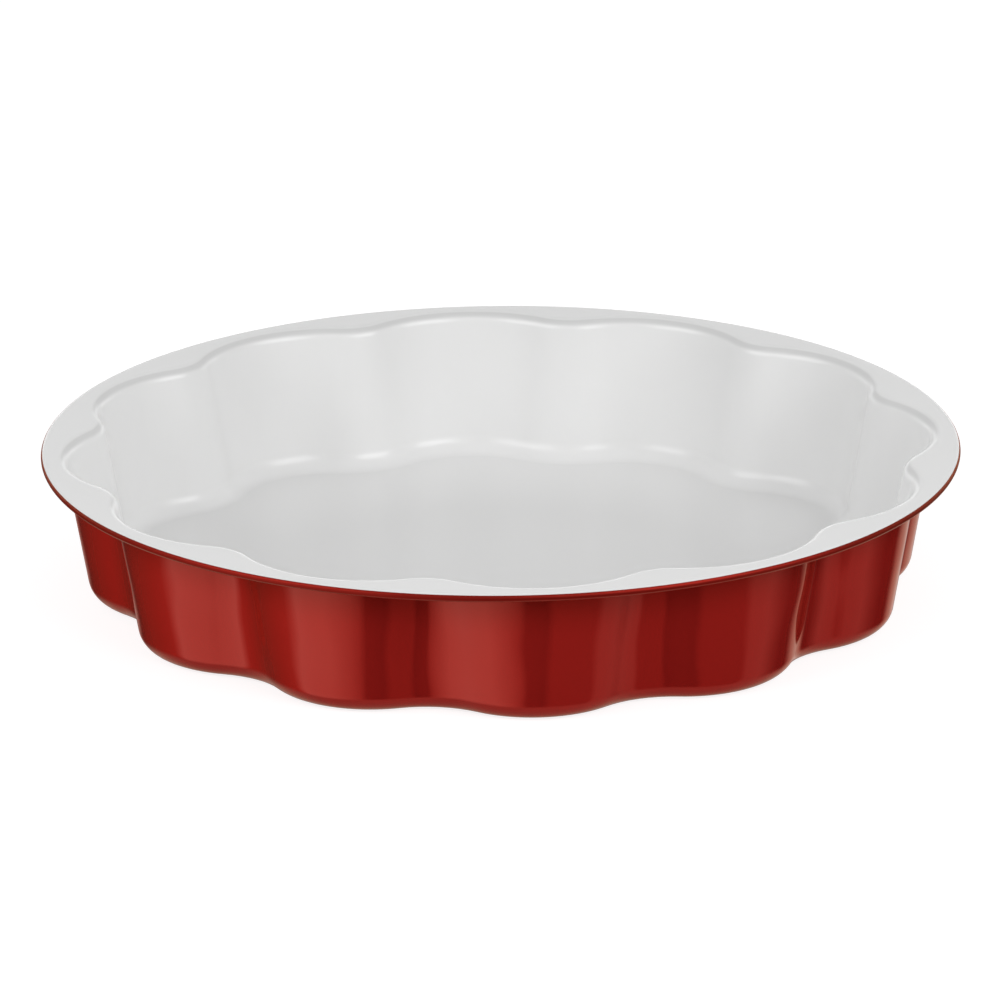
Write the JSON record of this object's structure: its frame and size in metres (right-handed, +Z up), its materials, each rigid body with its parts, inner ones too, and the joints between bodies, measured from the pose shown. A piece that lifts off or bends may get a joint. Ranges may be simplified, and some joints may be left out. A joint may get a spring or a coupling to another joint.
{
  "type": "fluted pie dish",
  "caption": "Round fluted pie dish of pressed steel with a flat rolled rim, a white ceramic lining and a glossy red enamel outside, for baking pies and flans.",
  "frame": {"origin": "centre of the underside, on the surface that the dish stands on", "axes": "+Z up along the axis of the dish, through the open mouth; a flute crown lies on +X and on +Y"},
  "size_m": [0.28, 0.28, 0.045],
  "materials": {
    "bare_steel": "satin",
    "white_ceramic": "satin",
    "red_enamel": "gloss"
  },
  "bodies": {
    "root": {"pressed_steel_shell": "bare_steel", "white_ceramic_lining": "white_ceramic", "red_enamel_skin": "red_enamel"}
  },
  "joints": []
}
